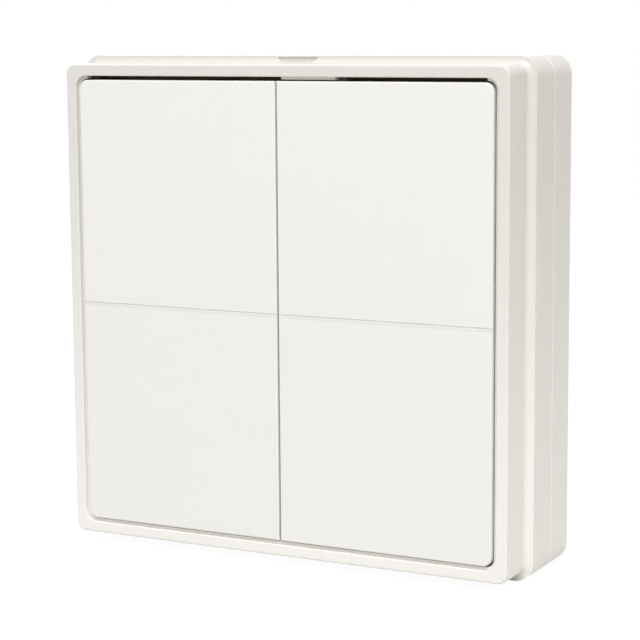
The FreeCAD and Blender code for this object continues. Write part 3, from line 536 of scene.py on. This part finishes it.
def floor_paper():
    """Matt white studio paper.

    The camera and reflections see it near white, with the soft shadow of the switch left in it,
    and fully white towards its rim, where it meets the white backdrop without a line.
    """
    material, tree, place, output = new_material("white_studio_paper")
    paint = add(tree, "ShaderNodeBsdfDiffuse", {"Color": linear("#DAD9D6")})
    glow = add(tree, "ShaderNodeEmission", {"Color": WHITE, "Strength": PAPER_GLOW})
    centre_out = add(tree, "ShaderNodeVectorMath", {0: place}, operation="LENGTH")
    whitened = add(
        tree,
        "ShaderNodeMapRange",
        {
            "Value": centre_out.outputs["Value"],
            "From Min": FLOOR_RADIUS * WHITENS_FROM,
            "From Max": FLOOR_RADIUS * WHITE_FROM,
            "To Min": MIDDLE_SHARE,
            "To Max": 1.0,
        },
        interpolation_type="SMOOTHSTEP",
    )
    share = add(
        tree,
        "ShaderNodeMath",
        {0: seen_directly(tree), 1: whitened.outputs["Result"]},
        operation="MULTIPLY",
    )
    both = add(
        tree,
        "ShaderNodeMixShader",
        {0: share.outputs["Value"], 1: paint.outputs["BSDF"], 2: glow.outputs["Emission"]},
    )
    tree.links.new(both.outputs["Shader"], output.inputs["Surface"])
    return material


def floor():
    """A round sheet of pale paper under the switch."""
    mesh = bpy.data.meshes.new("floor")
    shape = bmesh.new()
    bmesh.ops.create_circle(shape, cap_ends=True, segments=96, radius=FLOOR_RADIUS)
    bmesh.ops.translate(shape, verts=shape.verts, vec=(0, 0, cad_low.z))
    shape.to_mesh(mesh)
    shape.free()
    made = bpy.data.objects.new("floor", mesh)
    bpy.context.scene.collection.objects.link(made)
    mesh.materials.append(floor_paper())


def softbox(name, place, size, power, colour):
    """A square area light, size metres wide, that faces the middle of the switch."""
    lamp = bpy.data.lights.new(name, "AREA")
    lamp.shape = "SQUARE"
    lamp.size = size
    lamp.energy = power
    lamp.color = colour
    made = bpy.data.objects.new(name, lamp)
    made.location = place
    aim = LIT_POINT - Vector(place)
    made.rotation_euler = aim.to_track_quat("-Z", "Y").to_euler()
    bpy.context.scene.collection.objects.link(made)


def sky():
    """Even studio light all round, seen as white, with a warm wall at the right."""
    world = bpy.data.worlds.new("studio")
    bpy.context.scene.world = world
    world.use_nodes = True
    tree = world.node_tree
    tree.nodes.clear()
    way = add(tree, "ShaderNodeTexCoord").outputs["Generated"]
    xyz = add(tree, "ShaderNodeSeparateXYZ", {"Vector": way})
    rightward = add(tree, "ShaderNodeMapRange", {"Value": xyz.outputs["X"]})
    warmed = add(
        tree,
        "ShaderNodeMix",
        {"Factor": rightward.outputs["Result"], "A": SKY_LIGHT, "B": WARM_WALL},
        data_type="RGBA",
    )
    light = add(
        tree,
        "ShaderNodeMix",
        {"Factor": seen_directly(tree), "A": warmed.outputs["Result"], "B": WHITE},
        data_type="RGBA",
    )
    glow = add(tree, "ShaderNodeBackground", {"Color": light.outputs["Result"]})
    output = add(tree, "ShaderNodeOutputWorld")
    tree.links.new(glow.outputs["Background"], output.inputs["Surface"])


def fitted_camera():
    """The camera, fitted to the edges of the frame and the box in the photograph."""
    camera = bpy.data.cameras.new("camera")
    camera.sensor_width = 36.0
    camera.lens = LENS
    eye = bpy.data.objects.new("camera", camera)
    bpy.context.scene.collection.objects.link(eye)
    forward = EYE_FORWARD.normalized()
    rightward = forward.cross(EYE_UPWARD.normalized()).normalized()
    upward = rightward.cross(forward)
    turn = Matrix((rightward, upward, -forward)).transposed().to_4x4()
    eye.matrix_world = Matrix.Translation(EYE_PLACE * MM) @ turn
    bpy.context.scene.camera = eye


floor()
sky()
softbox("front_right_softbox", (0.272, -0.527, 0.805), 0.7, 8.6, (0.995, 1.0, 1.025))
softbox("back_left_softbox", (-0.42, 0.6, 0.14), 0.5, 2.0, (1.0, 1.0, 1.0))
fitted_camera()
bpy.context.scene.view_settings.view_transform = "Standard"
